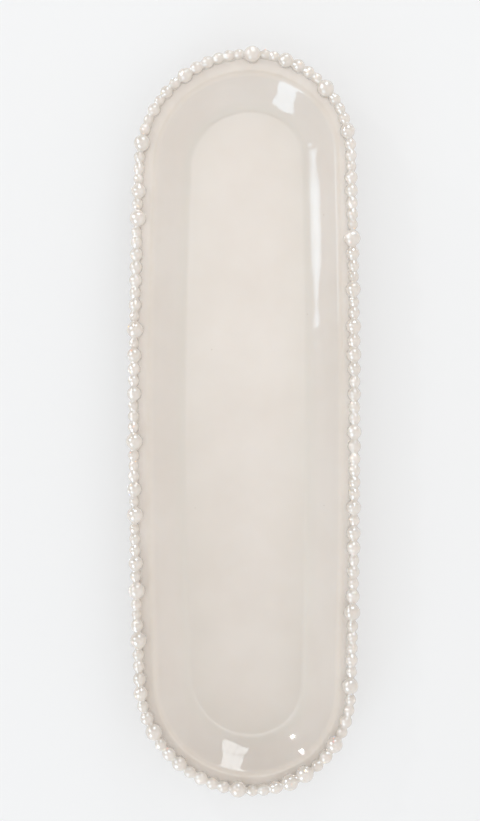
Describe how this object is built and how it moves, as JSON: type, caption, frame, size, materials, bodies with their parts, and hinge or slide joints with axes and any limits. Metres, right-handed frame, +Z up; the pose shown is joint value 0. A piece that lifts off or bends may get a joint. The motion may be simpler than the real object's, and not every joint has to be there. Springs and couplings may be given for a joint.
{
  "type": "asparagus plate",
  "caption": "Long oval-ended serving plate with a shallow well, a flat lip edged by a single row of hand-rolled pearls, and a foot ring beneath.",
  "frame": {"origin": "middle of the plan, on the table that the foot ring stands on", "axes": "+Y along the plate to its far end, +X to the right across it, +Z up"},
  "size_m": [0.1383, 0.4413, 0.033],
  "materials": {
    "cream_glaze": "glossy warm cream glaze",
    "pearl_glaze": "glossy warm cream glaze, thin on the pearls",
    "bare_clay": "unglazed matt fired clay"
  },
  "bodies": {
    "root": {"dish": "cream_glaze", "foot_ring": "bare_clay", "large_pearl_01": "pearl_glaze", "large_pearl_02": "pearl_glaze", "large_pearl_03": "pearl_glaze", "large_pearl_04": "pearl_glaze", "large_pearl_05": "pearl_glaze", "large_pearl_06": "pearl_glaze", "large_pearl_07": "pearl_glaze", "large_pearl_08": "pearl_glaze", "large_pearl_09": "pearl_glaze", "large_pearl_10": "pearl_glaze", "large_pearl_11": "pearl_glaze", "large_pearl_12": "pearl_glaze", "large_pearl_13": "pearl_glaze", "large_pearl_14": "pearl_glaze", "large_pearl_15": "pearl_glaze", "large_pearl_16": "pearl_glaze", "large_pearl_17": "pearl_glaze", "large_pearl_18": "pearl_glaze", "large_pearl_19": "pearl_glaze", "large_pearl_20": "pearl_glaze", "large_pearl_21": "pearl_glaze", "large_pearl_22": "pearl_glaze", "large_pearl_23": "pearl_glaze", "pearl_run_01": "pearl_glaze", "pearl_run_02": "pearl_glaze", "pearl_run_03": "pearl_glaze", "pearl_run_04": "pearl_glaze", "pearl_run_05": "pearl_glaze", "pearl_run_06": "pearl_glaze", "pearl_run_07": "pearl_glaze", "pearl_run_08": "pearl_glaze", "pearl_run_09": "pearl_glaze", "pearl_run_10": "pearl_glaze", "pearl_run_11": "pearl_glaze", "pearl_run_12": "pearl_glaze", "pearl_run_13": "pearl_glaze", "pearl_run_14": "pearl_glaze", "pearl_run_15": "pearl_glaze", "pearl_run_16": "pearl_glaze", "pearl_run_17": "pearl_glaze", "pearl_run_18": "pearl_glaze", "pearl_run_19": "pearl_glaze", "pearl_run_20": "pearl_glaze", "pearl_run_21": "pearl_glaze", "pearl_run_22": "pearl_glaze", "pearl_run_23": "pearl_glaze"}
  },
  "joints": []
}
